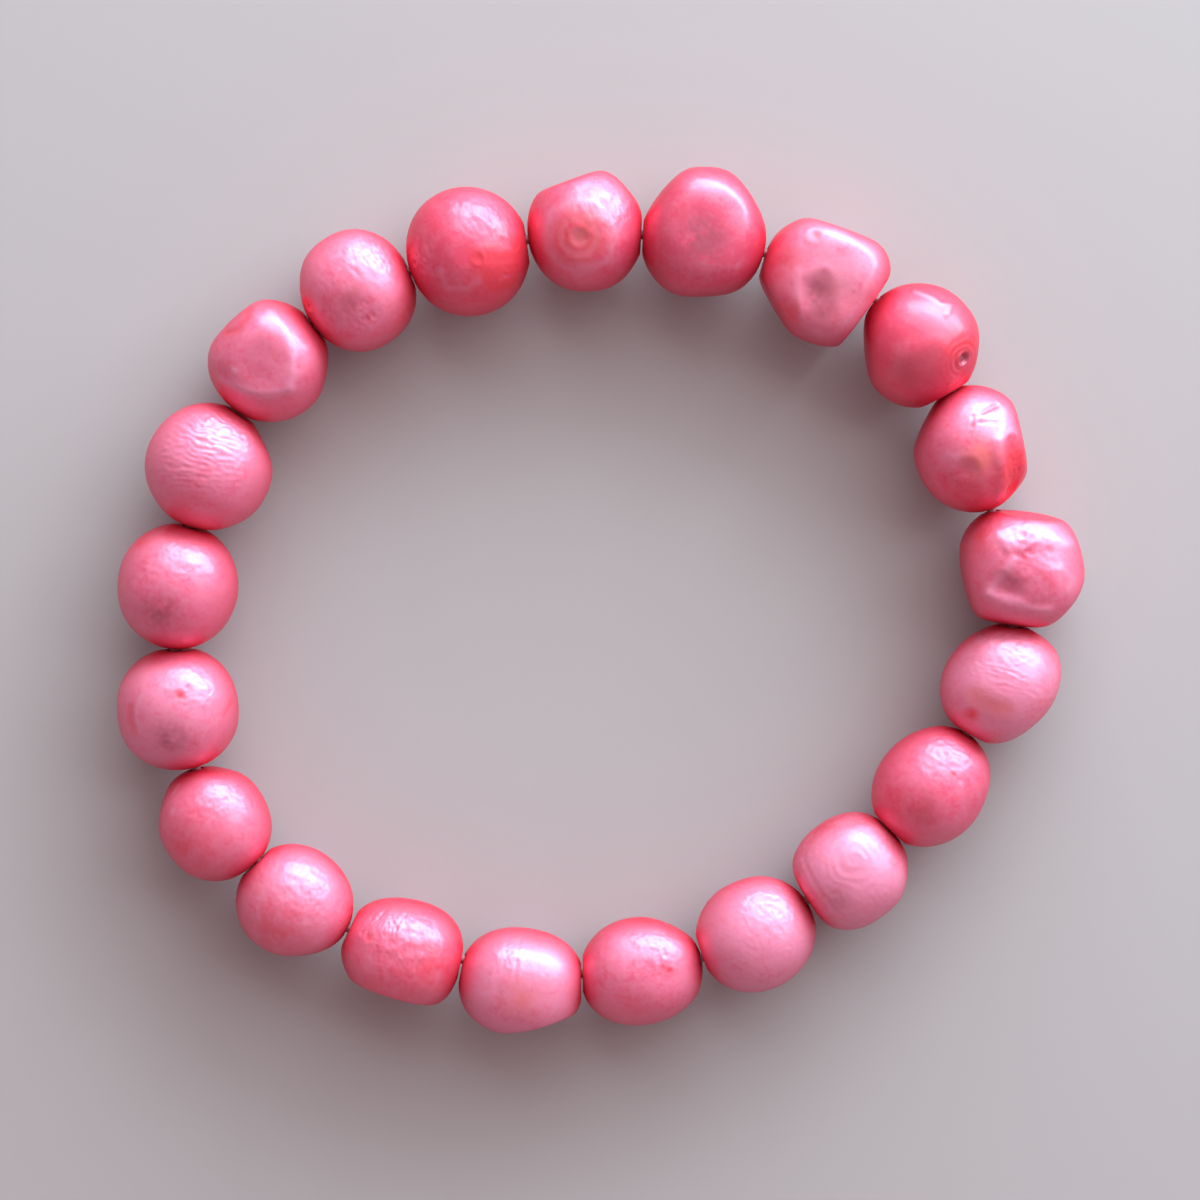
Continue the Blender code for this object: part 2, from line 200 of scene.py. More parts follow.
             dict(kind="crumple", at=(-0.48, 0.22), wide=0.60, deep=0.0100, pitch=0.17),
             dict(kind="crease", path=[(-0.12, 0.60), (-0.16, 0.20), (-0.12, -0.08)], wide=0.15,
                  deep=0.012),
             dict(kind="dish", at=(0.28, 0.30), wide=0.36, deep=-0.016),
             dict(kind="ridge", path=[(0.16, 0.60), (0.38, 0.80), (0.52, 0.66)], wide=0.06, deep=0.006,
                  pale=0.3),
             # Painted shade: the dark in this hollow and the patch over it.
             dict(kind="pit", at=(0.28, -0.34), wide=0.20, deep=0.040, dark=0.15),
             dict(kind="stain", at=(0.22, -0.26), wide=0.24, dark=0.45),
             # Painted highlight: the pale along these two ridges.
             dict(kind="ridge", path=[(0.76, 0.25), (0.70, 0.00), (0.50, -0.35), (0.32, -0.62)], wide=0.10,
                  deep=0.030, pale=0.4),
             dict(kind="ridge", path=[(-0.12, -0.15), (0.10, -0.40), (0.30, -0.60)], wide=0.07, deep=0.020,
                  pale=0.4),
             dict(kind="stain", at=(-0.65, -0.60), wide=0.35, red=0.5)]),
    dict(out=1.08, inn=0.78, tall=0.92, long=1.05, peak=0.00, egg=0.00, full=2.15, turn=-14,
         flats=[(60, 0, 0.92, 14), (228, 0, 0.95, 20)],
         hollows=[(350, 50, 0.030, 18), (138, 0, -0.050, 22)],
         eye=(0.02, 0.14), rough=0.7, pale=1.12, red=0.00, marks=[
             dict(kind="stripes", at=(-0.30, 0.05), wide=0.42, deep=0.0024, pitch=0.09, toward=8, pale=0.5),
             dict(kind="crumple", at=(-0.62, 0.00), wide=0.45, deep=0.0050, pitch=0.13),
             dict(kind="crease", path=[(-0.20, 0.70), (-0.28, 0.10), (-0.33, -0.62)], wide=0.035,
                  deep=0.005),
             dict(kind="crease", path=[(-0.08, 0.60), (-0.14, 0.00), (-0.20, -0.50)], wide=0.030,
                  deep=0.004),
             dict(kind="crease", path=[(0.35, 0.25), (0.36, -0.30)], wide=0.12, deep=0.008, warm=0.7),
             dict(kind="stain", at=(0.52, -0.10), wide=0.14, pale=0.4),
             dict(kind="pit", at=(0.64, -0.22), wide=0.08, deep=0.018, red=1.1),
             dict(kind="stain", at=(0.12, 0.84), wide=0.30, red=0.5)]),
    dict(out=0.94, inn=0.90, tall=0.93, long=1.02, peak=0.03, egg=0.03, full=2.05, turn=-6,
         flats=[], hollows=[],
         eye=(0.04, -0.02), rough=0.6, pale=0.42, red=0.05, marks=[
             dict(kind="pit", at=(-0.37, 0.20), wide=0.03, deep=0.006, red=0.9),
             dict(kind="pit", at=(-0.30, 0.42), wide=0.05, deep=-0.006, pale=0.6),
             dict(kind="crumple", at=(-0.55, -0.05), wide=0.46, deep=0.0050, pitch=0.13),
             # Painted reflection: the dark of this patch, with a little red.
             dict(kind="stain", at=(0.38, 0.14), wide=0.32, red=0.3, dark=0.40),
             dict(kind="stain", at=(0.60, -0.30), wide=0.30, red=0.4)]),
    dict(out=0.96, inn=0.89, tall=0.94, long=1.04, peak=0.04, egg=0.00, full=2.30, turn=0,
         flats=[(355, 0, 0.88, 16), (132, 0, 0.98, 16)], hollows=[],
         eye=(0.04, -0.03), rough=0.8, pale=1.28, red=0.00, marks=[
             dict(kind="whorl", at=(-0.15, -0.05), wide=0.50, deep=0.0034, pitch=0.15),
             dict(kind="ridge",
                  path=[(-0.48, 0.38), (-0.60, 0.00), (-0.52, -0.35), (-0.30, -0.58), (0.00, -0.62)],
                  wide=0.05, deep=0.004, pale=0.4),
             dict(kind="crease", path=[(0.58, 0.55), (0.62, 0.20), (0.58, -0.30), (0.50, -0.60)], wide=0.05,
                  deep=0.010),
             # Painted reflection: a dark patch.
             dict(kind="stain", at=(0.42, 0.32), wide=0.22, dark=0.40),
             dict(kind="stain", at=(0.80, 0.10), wide=0.22, red=0.5)]),
    dict(out=1.02, inn=0.87, tall=0.94, long=1.01, peak=0.02, egg=0.02, full=2.10, turn=0,
         flats=[], hollows=[],
         eye=(-0.01, 0.01), rough=0.8, pale=0.98, red=0.00, marks=[
             dict(kind="crumple", at=(-0.40, -0.25), wide=0.46, deep=0.0050, pitch=0.10),
             dict(kind="crease", path=[(-0.66, 0.05), (-0.48, 0.26), (0.00, 0.60)], wide=0.03, deep=0.003,
                  pale=0.3)]),
    dict(out=0.97, inn=0.83, tall=0.90, long=1.01, peak=0.03, egg=0.02, full=2.20, turn=0,
         flats=[(236, 0, 0.93, 16), (318, 0, 1.05, 16)], hollows=[(170, 62, 0.025, 18)],
         eye=(0.00, -0.01), rough=0.6, pale=0.58, red=0.00, marks=[
             dict(kind="crumple", at=(-0.30, -0.26), wide=0.46, deep=0.0050, pitch=0.10),
             dict(kind="pit", at=(-0.43, 0.12), wide=0.045, deep=0.008, red=0.9),
             dict(kind="pit", at=(-0.34, 0.06), wide=0.030, deep=0.006, red=0.8),
             dict(kind="stain", at=(-0.15, -0.78), wide=0.18, red=0.8),
             dict(kind="stain", at=(0.30, 0.75), wide=0.40, red=0.3),
             dict(kind="ridge", path=[(0.58, -0.64), (0.86, -0.44)], wide=0.035, deep=0.004, pale=0.5)]),
    dict(out=1.17, inn=0.65, tall=0.93, long=1.04, peak=-0.02, egg=0.00, full=2.25, turn=0,
         flats=[(112, 0, 0.705, 60)], hollows=[],
         eye=(-0.01, 0.12), rough=0.4, pale=0.86, red=0.00, marks=[
             dict(kind="crease", path=[(0.10, 0.05), (0.12, -0.25), (0.10, -0.60)], wide=0.035, deep=0.007),
             dict(kind="crease", path=[(0.33, 0.50), (0.42, 0.10), (0.30, -0.35)], wide=0.06, deep=0.004),
             dict(kind="stain", at=(-0.05, 0.42), wide=0.30, warm=0.6),
             dict(kind="stain", at=(0.62, 0.32), wide=0.16, pale=0.4),
             dict(kind="crumple", at=(0.25, -0.36), wide=0.30, deep=0.0050, pitch=0.10)]),
    dict(out=1.02, inn=0.76, tall=0.94, long=1.03, peak=0.02, egg=-0.05, full=2.30, turn=0,
         flats=[(88, 0, 0.68, 60)], hollows=[(142, 0, -0.040, 20)],
         eye=(0.00, 0.02), rough=0.7, pale=0.60, red=0.06, marks=[
             dict(kind="stain", at=(-0.62, 0.20), wide=0.50, red=0.5),
             dict(kind="stain", at=(0.15, 0.78), wide=0.80, red=0.75),
             dict(kind="crumple", at=(0.10, -0.22), wide=0.62, deep=0.0080, pitch=0.09),
             dict(kind="crease", path=[(0.76, 0.00), (0.66, -0.30), (0.52, -0.60)], wide=0.030, deep=0.007),
             dict(kind="crease", path=[(0.68, 0.00), (0.58, -0.25), (0.45, -0.50)], wide=0.025, deep=0.006),
             dict(kind="pit", at=(0.62, 0.03), wide=0.06, deep=0.010, red=0.6)]),
    dict(out=1.11, inn=0.78, tall=0.93, long=1.03, peak=0.03, egg=0.02, full=2.05, turn=0,
         flats=[(135, 0, 0.90, 14)], hollows=[],
         eye=(0.05, 0.02), rough=0.8, pale=0.82, red=0.00, marks=[
             dict(kind="crumple", at=(0.10, -0.30), wide=0.52, deep=0.0050, pitch=0.10),
             dict(kind="ridge", path=[(0.26, 0.76), (0.44, 0.60)], wide=0.03, deep=0.003, pale=0.5),
             dict(kind="stain", at=(-0.05, 0.80), wide=0.75, red=0.45),
             dict(kind="pit", at=(-0.62, 0.16), wide=0.03, deep=-0.004, pale=0.5)]),
    dict(out=1.15, inn=0.69, tall=0.93, long=1.04, peak=0.00, egg=0.00, full=2.20, turn=0,
         flats=[(42, 0, 0.95, 14), (318, 0, 0.92, 14)], hollows=[],
         eye=(-0.01, 0.13), rough=0.7, pale=0.60, red=0.00, marks=[
             dict(kind="crumple", at=(0.35, -0.25), wide=0.42, deep=0.0050, pitch=0.10),
             dict(kind="ridge", path=[(0.78, 0.38), (0.86, 0.24)], wide=0.03, deep=0.004, pale=0.7),
             dict(kind="stain", at=(-0.25, 0.78), wide=0.75, red=0.45),
             dict(kind="pit", at=(0.55, 0.58), wide=0.035, deep=-0.004, pale=0.6)]),
    dict(out=1.11, inn=0.92, tall=0.99, long=1.01, peak=0.02, egg=0.00, full=2.12, turn=0,
         flats=[], hollows=[],
         eye=(0.02, 0.07), rough=0.5, pale=0.78, red=0.00, marks=[
             dict(kind="pit", at=(0.22, -0.06), wide=0.06, deep=0.012, red=1.0),
             dict(kind="crumple", at=(0.38, -0.28), wide=0.45, deep=0.0050, pitch=0.10),
             dict(kind="crease", path=[(-0.22, 0.80), (-0.05, 0.84), (0.12, 0.80)], wide=0.06, deep=0.008,
                  red=0.5),
             # Painted reflection: a dark patch.
             dict(kind="stain", at=(-0.45, 0.25), wide=0.30, dark=0.75),
             dict(kind="ridge", path=[(-0.60, 0.55), (-0.30, 0.72), (0.10, 0.72), (0.30, 0.60)], wide=0.04,
                  deep=0.003, pale=0.3),
             dict(kind="crease", path=[(-0.25, -0.70), (-0.05, -0.85)], wide=0.045, deep=0.006, red=0.4)]),
    dict(out=1.06, inn=0.95, tall=1.00, long=1.01, peak=0.02, egg=0.00, full=2.02, turn=0,
         flats=[], hollows=[],
         eye=(0.02, 0.06), rough=0.5, pale=0.54, red=0.00, marks=[
             dict(kind="stripes", at=(0.35, 0.35), wide=0.55, deep=0.0022, pitch=0.07, toward=135),
             dict(kind="stain", at=(0.66, 0.68), wide=0.16, red=0.6),
             # Painted reflection: a dark patch.
             dict(kind="stain", at=(-0.45, 0.22), wide=0.30, dark=0.80),
             dict(kind="crumple", at=(0.50, 0.00), wide=0.38, deep=0.0050, pitch=0.10)]),
    dict(out=1.09, inn=1.03, tall=1.02, long=1.01, peak=0.01, egg=0.00, full=2.02, turn=0,
         flats=[(318, 0, 1.02, 16)], hollows=[],
         eye=(0.01, 0.08), rough=0.9, pale=0.70, red=0.00, marks=[
             dict(kind="stripes", at=(0.50, 0.12), wide=0.50, deep=0.0095, pitch=0.095, toward=0,
                  pale=0.45),
             dict(kind="stripes", at=(-0.20, 0.30), wide=0.60, deep=0.0035, pitch=0.09, toward=20),
             dict(kind="stripes", at=(0.60, -0.38), wide=0.30, deep=0.003, pitch=0.08, toward=75),
             dict(kind="stain", at=(-0.78, 0.10), wide=0.40, red=0.3)]),
    dict(out=1.16, inn=0.87, tall=0.98, long=1.02, peak=0.02, egg=0.02, full=2.10, turn=0,
         flats=[(88, 0, 0.92, 18), (100, 34, 0.97, 20), (90, 86, 0.88, 20), (307, 0, 0.99, 16)], hollows=[],
         eye=(0.00, 0.23), rough=0.4, pale=0.52, red=0.00, marks=[
             dict(kind="crease", path=[(-0.15, 0.73), (0.00, 0.65), (0.25, 0.66), (0.38, 0.75)], wide=0.06,
                  deep=0.008, red=0.55),
             dict(kind="crease", path=[(-0.15, 0.75), (0.05, 0.82), (0.32, 0.82)], wide=0.05, deep=0.004,
                  red=0.4),
             dict(kind="pit", at=(-0.50, 0.19), wide=0.035, deep=-0.006, pale=0.9),
             # Painted highlight: the pale along both ridges.
             dict(kind="ridge", path=[(-0.75, 0.25), (-0.60, -0.15), (-0.35, -0.45), (-0.05, -0.62)],
                  wide=0.09, deep=0.016, pale=0.5),
             dict(kind="ridge", path=[(0.60, 0.48), (0.56, 0.10), (0.30, -0.35), (-0.05, -0.62)], wide=0.09,
                  deep=0.015, pale=0.5),
             # The dark of this dish is painted reflection.
             dict(kind="dish", at=(-0.12, -0.03), wide=0.32, deep=0.014, dark=0.55)]),
    dict(out=1.17, inn=0.84, tall=0.97, long=1.02, peak=0.00, egg=0.00, full=2.20, turn=0,
         flats=[(150, 0, 1.01, 14)], hollows=[(250, 62, 0.030, 20)],
         eye=(-0.02, 0.21), rough=0.8, pale=0.58, red=0.00, marks=[
             # Painted highlight: the pale of these dapples.
             dict(kind="crumple", at=(0.45, 0.42), wide=0.46, deep=0.0085, pitch=0.10, pale=0.4),
             dict(kind="whorl", at=(-0.78, 0.19), wide=0.15, deep=0.014, pitch=0.14, red=0.9),
             dict(kind="crumple", at=(-0.10, -0.48), wide=0.28, deep=0.007, pitch=0.12, pale=0.2),
             # Painted reflection: the dark of this patch, with a little red.
             dict(kind="stain", at=(-0.18, -0.10), wide=0.28, red=0.2, dark=0.50),
             dict(kind="stain", at=(0.50, -0.78), wide=0.35, red=0.6)]),
]


def unit(vector):
    return vector / np.linalg.norm(vector)


def direction(around, up):
    a, e = np.radians(around), np.radians(up)
    return np.array([np.cos(a) * np.cos(e), np.sin(a) * np.cos(e), np.sin(e)])


def waveField(points, grain, seed, count=30):
    # A smooth random field with one grain size, mostly between -1.5 and 1.5.
    chance = np.random.default_rng(seed)
    aims = chance.normal(size=(count, 3))
    aims /= np.linalg.norm(aims, axis=1)[:, None]
    aims *= (2 * np.pi / grain * chance.uniform(0.7, 1.3, count))[:, None]
    return np.cos(points @ aims.T + chance.uniform(0, 2 * np.pi, count)).sum(1) * np.sqrt(2 / count)


class PearlForm:
    # One pearl in its own frame: along the bore, outward, up, measured from the middle of its bore.
    def __init__(self, index, joints):
        row = pearlRows[index]
        before, start, end, after = (joints[(index + step) % len(joints)] for step in (-1, 0, 1, 2))
        half = bracelet["pearlSize"] / 2
        self.row, self.half, self.seed = row, half, 100 + index
        self.middle = (start + end) / 2
        self.along = unit(end - start)
        self.outward = np.array([-self.along[1], self.along[0]])
        slant = (self.middle - view["over"]) / view["height"]
        self.lean = np.array([slant @ self.along, slant @ self.outward])
        halfBore = np.linalg.norm(end - start) / 2
        across = half * (row["out"] + row["inn"]) / 2
        self.axes = np.array([halfBore * row["long"], across, half * row["tall"]])
        self.centre = np.array([half * row["peak"], half * (row["out"] - row["inn"]) / 2, 0.0])
        self.ends = []
        for joint, other, sign in ((end, after - end, 1), (start, start - before, -1)):
            facing = unit(self.along + unit(other)) * sign
            local = np.array([facing @ self.along, facing @ self.outward, 0.0])
            self.ends.append((local, (joint - self.middle) @ facing - bracelet["gap"] / 2))

    def reach(self, aims):
        # How far the skin is from the pearl's centre in each direction.
        row, half = self.row, self.half
        turn = np.radians(row["turn"])
        across = aims[:, 0] * np.cos(turn) + aims[:, 1] * np.sin(turn)
        outward = -aims[:, 0] * np.sin(turn) + aims[:, 1] * np.cos(turn)
        swell = 1 + row["egg"] * across
        parts = np.abs(np.stack([across, outward / swell, aims[:, 2] / swell], 1) / self.axes)
        far = (parts ** row["full"]).sum(1) ** (-1 / row["full"])
        for around, up, distance, edge in row["flats"]:
            facing = np.maximum(aims @ direction(around, up), 1e-6)
            far = (far**-edge + (half * distance / facing) ** -edge) ** (-1 / edge)
        for around, up, depth, spread in row["hollows"]:
            angle = np.arccos(np.clip(aims @ direction(around, up), -1, 1))
            far = far - half * depth * np.exp(-((angle / np.radians(spread)) ** 2))
        return far

    def inside(self, points):
        offset = points - self.centre
        far = np.linalg.norm(offset, axis=1)
        found = far < self.reach(offset / np.maximum(far, 1e-9)[:, None])
        for facing, distance in self.ends:
            found &= points @ facing < distance
        return found

    def crossing(self, starts, aims, halvings=22):
        # Where lines from inside the pearl meet its skin, found by halving.
        near, far = np.zeros(len(starts)), np.full(len(starts), 1.2 * bracelet["pearlSize"])
        for _ in range(halvings):
            halfway = (near + far) / 2
            within = self.inside(starts + aims * halfway[:, None])
            near, far = np.where(within, halfway, near), np.where(within, far, halfway)
        return starts + aims * near[:, None]

    def settle(self, turns=96, tilts=40, shallowest=30):
        # The lowest point of the pearl goes on the floor, below the cord.
        around, fall = (
            values.ravel() for values in np.meshgrid(
                np.linspace(0, 2 * np.pi, turns, endpoint=False),
                np.linspace(np.radians(shallowest), np.radians(90), tilts)))
        aims = np.stack([np.cos(around) * np.cos(fall), np.sin(around) * np.cos(fall), -np.sin(fall)], 1)
        self.centre[2] = -(self.reach(aims) * aims[:, 2]).min() - bracelet["cordHeight"]

    def grid(self):
        # Rings of points from one mouth of the bore to the other, as an array of rings, sides, 3.
        sides, rings = skin["sides"], skin["rings"]
        turns = np.linspace(0, 2 * np.pi, sides, endpoint=False)
        circle = np.stack([0 * turns, np.cos(turns), np.sin(turns)], 1)
        bore = circle * bracelet["bore"] / 2
        forward = np.tile([1.0, 0.0, 0.0], (sides, 1))
        mouths = [self.crossing(bore, -forward), self.crossing(bore, forward)]
        angles = [np.arctan2(bracelet["bore"] / 2, mouth[:, 0]) for mouth in mouths]
        share = (np.arange(1, rings - 1) / (rings - 1))[:, None]
        angle = (angles[0] * (1 - share) + angles[1] * share).ravel()
        spread = np.tile(circle, (rings - 2, 1))
        aims = np.stack([np.cos(angle), spread[:, 1] * np.sin(angle), spread[:, 2] * np.sin(angle)], 1)
        body = self.crossing(np.zeros_like(aims), aims).reshape(rings - 2, sides, 3)
        return np.concatenate([mouths[0][None], body, mouths[1][None]])

    def placed(self, points):
        plan = self.middle + points[:, :1] * self.along + points[:, 1:2] * self.outward
        return np.column_stack([plan, points[:, 2] + bracelet["cordHeight"]])


def gridNormals(grid):
    down = np.empty_like(grid)
    down[1:-1] = grid[2:] - grid[:-2]
    down[0], down[-1] = grid[1] - grid[0], grid[-1] - grid[-2]
    around = np.roll(grid, -1, 1) - np.roll(grid, 1, 1)
    normal = np.cross(around, down)
    return normal / np.maximum(np.linalg.norm(normal, axis=2), 1e-9)[:, :, None]


def spotOn(form, points, at):
    # The point of the upper side that the photograph shows at a place on the pearl.
    upper = points[points[:, 2] > 0]
    plan = upper[:, :2] + form.lean * upper[:, 2:] - (np.array(at) + form.row["eye"]) * form.half
    return upper[np.argmin((plan**2).sum(1))]


def distanceToPath(points, path):
    nearest = np.full(len(points), 1e9)
    for start, end in zip(path[:-1], path[1:]):
        line = end - start
        share = np.clip((points - start) @ line / (line @ line), 0, 1)
        nearest = np.minimum(nearest, np.linalg.norm(points - start - share[:, None] * line, axis=1))
    return nearest


def distanceToMark(form, points, mark, warp, stations=24):
    # A mark is a line through the spots of its path, or one spot. Its edge is uneven.
    if "path" in mark:
        stops = np.array([spotOn(form, points, at) for at in mark["path"]])
        steps = np.linspace(0, len(stops) - 1, stations)
        route = np.stack([np.interp(steps, range(len(stops)), stops[:, axis]) for axis in range(3)], 1)
        return distanceToPath(points, route) + drawing["lineEdge"] * (mark["wide"] * form.half) * warp
    far = np.linalg.norm(points - spotOn(form, points, mark["at"]), axis=1)
    return far * (1 + drawing["spotEdge"] * warp)


def drawnMark(form, points, mark, warp, fine):
    # The height in millimetres that a mark adds, and how strongly its colours show, at each point.
    half, kind = form.half, mark["kind"]
    wide, deep, pitch = (mark.get(key, 0) * half for key in ("wide", "deep", "pitch"))
    far = distanceToMark(form, points, mark, warp)
    bell = np.exp(-((far / wide) ** 2))
    # The dark given to some pits, dishes and creases is painted shade, and on one dish painted reflection.
    if kind in ("pit", "dish", "crease"):
        cup = 1 / (1 + np.exp((far / wide - 1) * drawing["dishEdge"])) if kind == "dish" else bell
        rim = np.exp(-(((far - drawing["rimAt"] * wide) / (drawing["rimWide"] * wide)) ** 2))
        return -deep * (cup - drawing["rimHigh"] * rim), np.exp(-((far / (drawing["halo"] * wide)) ** 2))
    # The pale given to some ridges is a painted highlight along them.
    if kind == "ridge":
        return deep * bell, bell
    if kind == "whorl":
        return deep * bell * np.cos(2 * np.pi * far / pitch + 0.5 * warp), bell
    if kind == "stripes":
        spin = np.radians(mark["toward"])
        run = points[:, 0] * np.cos(spin) + points[:, 1] * np.sin(spin)
        wave = np.sin(2 * np.pi * run / pitch + 2.2 * warp)
        return deep * bell * (wave + 0.4 * fine), bell * (0.5 + 0.5 * wave)
    if kind == "crumple":
        folds = 0.5 - np.abs(waveField(points, pitch * 1.3, form.seed + 77))
        folds += 0.6 * waveField(points, pitch * 2.2, form.seed + 88)
        return deep * bell * folds, bell * np.clip(folds, 0, 1)
    if kind == "ring":
        return 0, np.exp(-(((far - mark["radius"] * half) / wide) ** 2))
    # Stains: mostly dye, but some pale patches are painted highlights and some dark patches painted
    # reflections.
    return 0, bell * np.clip(1 + 0.25 * warp + 0.15 * fine, 0, 1.4)


def relief(form, points):
    # Height in millimetres over the plain form, and how red, pale, warm and dark the colour is, at each
    # point. Most of it is dye, but the pale of some marks is painted highlight and the dark of some marks is
    # painted shade and painted reflection.
    warp = waveField(points, skin["warpGrain"], form.seed + 300)
    fine = waveField(points, skin["fineGrain"], form.seed + 600)
    folds = np.abs(waveField(points, skin["foldGrain"], form.seed + 40))
    patch = np.clip(0.6 + 0.6 * waveField(points, skin["patchGrain"], form.seed + 900), 0.1, 1.6)
    height = skin["lump"] * waveField(points, skin["lumpGrain"], form.seed)
    height += skin["wrinkle"] * form.row["rough"] * patch * (fine + 0.6 * folds)
    dyesAndPaintedLight = ("red", "pale", "warm", "dark")
    tint = {colour: np.full(len(points), form.row.get(colour, 0.0)) for colour in dyesAndPaintedLight}
    for mark in form.row["marks"]:
        raised, paint = drawnMark(form, points, mark, warp, fine)
        height += raised
        for colour in dyesAndPaintedLight:
            tint[colour] += mark.get(colour, 0) * paint
    return height, tint


def calmed(form, points, height):
    # Nothing is raised at the mouths of the bore, at the joints or where the pearl rests.
    calm = np.ones(len(points))
    for facing, distance in form.ends:
        calm *= np.clip((distance - points @ facing) / skin["calmAtJoint"], 0, 1)
    floorGap = points[:, 2] + bracelet["cordHeight"]
    calm *= np.clip(floorGap / skin["calmAtFloor"], 0, 1)
    return np.minimum(height * calm, 0.9 * floorGap)


def paintedSideShadeAndMouthDye(form, points, normals):
    # Painted shade and painted pink light: the colour deepens down the sides, away from the top, and less so
    # on a pale pearl. Round the mouths of the bore it deepens too, partly dye that gathers there and partly
    # painted pink light from the neighbours.
    ends = np.abs(points[:, 0]) / (np.abs(points[:, 0]).max())
    depth = np.clip((0.90 - np.abs(normals[:, 2])) / 0.90, 0, 1) ** 1.3 * (1 - 0.15 * form.row["pale"])
    return depth + 0.35 * np.clip((ends - 0.60) / 0.40, 0, 1) ** 1.4


class Wire:
    # A socket that can be used in Python expressions.
    def __init__(self, recipe, socket):
        self.recipe, self.socket = recipe, socket

    def sum(self, operation, other, swapped=False):
        pair = (other, self) if swapped else (self, other)
        return self.recipe.node("Math", dict(operation=operation), {0: pair[0], 1: pair[1]})

    def __add__(self, other):
        return self.sum("ADD", other)

    def __sub__(self, other):
        return self.sum("SUBTRACT", other)

    def __rsub__(self, other):
        return self.sum("SUBTRACT", other, True)

    def __mul__(self, other):
        return self.sum("MULTIPLY", other)

    def limited(self):
        return self.recipe.node("Clamp", {}, {"Value": self})

    __radd__ = __add__


class Recipe:
    # A material and the nodes in it.
    def __init__(self, name):
        self.material = bpy.data.materials.new(name)
        self.material.use_nodes = True
        self.tree = self.material.node_tree
        self.surface = self.tree.nodes["Principled BSDF"]

    def plug(self, value, socket):
        if isinstance(value, Wire):
            self.tree.links.new(value.socket, socket)
        else:
            socket.default_value = value

    def node(self, kind, settings, values, out=0):
        made = self.tree.nodes.new("ShaderNode" + kind)
        for name, value in settings.items():
            setattr(made, name, value)
        for name, value in values.items():
            self.plug(value, made.inputs[name])
        return Wire(self, made.outputs[out])

    def blend(self, share, first, second):
        colours = [c if isinstance(c, Wire) else (*c, 1) for c in (first, second)]
        return self.node("Mix", dict(data_type="RGBA"), {0: share, 6: colours[0], 7: colours[1]}, 2)

    def painted(self, name):
        return self.node("Attribute", dict(attribute_name=name), {}, 2)

    def millimetres(self):
        place = self.node("TexCoord", {}, {}, 3)
        return self.node("VectorMath", dict(operation="SCALE"), {0: place, "Scale": 1000.0})

    def noise(self, place, scale, detail, distortion=0.0):
        values = {"Vector": place, "Scale": scale, "Detail": detail, "Distortion": distortion}
        return self.node("TexNoise", {}, values)

    def finish(self, **values):
        for name, value in values.items():
            self.plug(value, self.surface.inputs[name.replace("_", " ")])
        return self.material


# The colours, then the polish. deep is the colour down the sides and round the bore mouths: painted shade and
# painted pink light, with some dye at the mouths. pale is the pearls' paler tone and on some marks a painted
# highlight; dusk is their darker tone and on some marks painted shade and painted reflection. The noises are
# (scale, detail, distortion), for patches from 3 mm to 0.3 mm.
nacreLook = dict(
    deep=(0.69, 0.014, 0.044), pink=(0.67, 0.050, 0.120), pale=(0.69, 0.25, 0.38),
    coral=(0.69, 0.016, 0.028), peach=(0.68, 0.16, 0.135), dusk=(0.27, 0.045, 0.070),
    broad=(0.30, 2.0, 0.5), cloudy=(1.1, 5.0, 0.6), grain=(3.4, 2.0, 0.6),
    gloss=0.42, satin=0.09, sheen=(1.0, 0.76, 1.0), metal=0.28, coat=0.42, coatRoughness=0.13, refraction=2.0,
    bumpStrength=0.3, bumpDistance=0.00003,
)


def nacreMaterial():
    recipe = Recipe("dyedNacre")
    look = nacreLook
    place = recipe.millimetres()
    broad, cloudy, grain = (recipe.noise(place, *look[name]) for name in ("broad", "cloudy", "grain"))
    red, pale, warm, dark, side = (recipe.painted(name) for name in ("red", "pale", "warm", "dark", "side"))
    satin = recipe.painted("satin")
    mottle = (broad - 0.5) * 0.9 + (cloudy - 0.5) * 1.2 + (grain - 0.5) * 0.7
    # pale: the pearls' paler tone, and on some ridges and patches a painted highlight.
    colour = recipe.blend((pale + mottle).limited(), look["pink"], look["pale"])
    colour = recipe.blend(warm.limited() * 0.8, colour, look["peach"])
    # Painted shade and painted pink light: side turns the colour towards deep down the sides and round the
    # bore mouths.
    colour = recipe.blend((side + mottle * 0.5).limited(), colour, look["deep"])
    colour = recipe.blend((red * (0.6 + cloudy * 0.8)).limited() * 0.9, colour, look["coral"])
    # dark: the pearls' darker tone, and on some hollows and patches painted shade and painted reflection.
    colour = recipe.blend(dark.limited() * 0.8, colour, look["dusk"])
    bumps = {"Strength": look["bumpStrength"], "Distance": look["bumpDistance"], "Height": grain}
    depth = side.limited()
    return recipe.finish(
        Base_Color=colour, Roughness=satin * look["satin"] + grain * 0.08 + look["gloss"],
        Normal=recipe.node("Bump", {}, bumps), Metallic=depth * 0.25 + look["metal"],
        Coat_Weight=look["coat"] - depth * 0.22, Coat_Roughness=look["coatRoughness"],
        IOR=look["refraction"], Specular_Tint=(*look["sheen"], 1))


def addPiece(name, points, faces, material, uvs=None, tint=None):
    mesh = bpy.data.meshes.new(name)
    mesh.from_pydata(points.tolist(), [], faces.tolist())
    mesh.update()
    mesh.polygons.foreach_set("use_smooth", [True] * len(faces))
    mesh.materials.append(material)
    if uvs is not None:
        layer = mesh.uv_layers.new(name="OFBake")
        layer.uv.foreach_set("vector", uvs.astype(np.float32).ravel())
    for colour, values in (tint or {}).items():
        mesh.attributes.new(colour, "FLOAT", "POINT").data.foreach_set("value", values.astype(np.float32))
    piece = bpy.data.objects.new(name, mesh)
    bpy.context.scene.collection.objects.link(piece)
    return piece


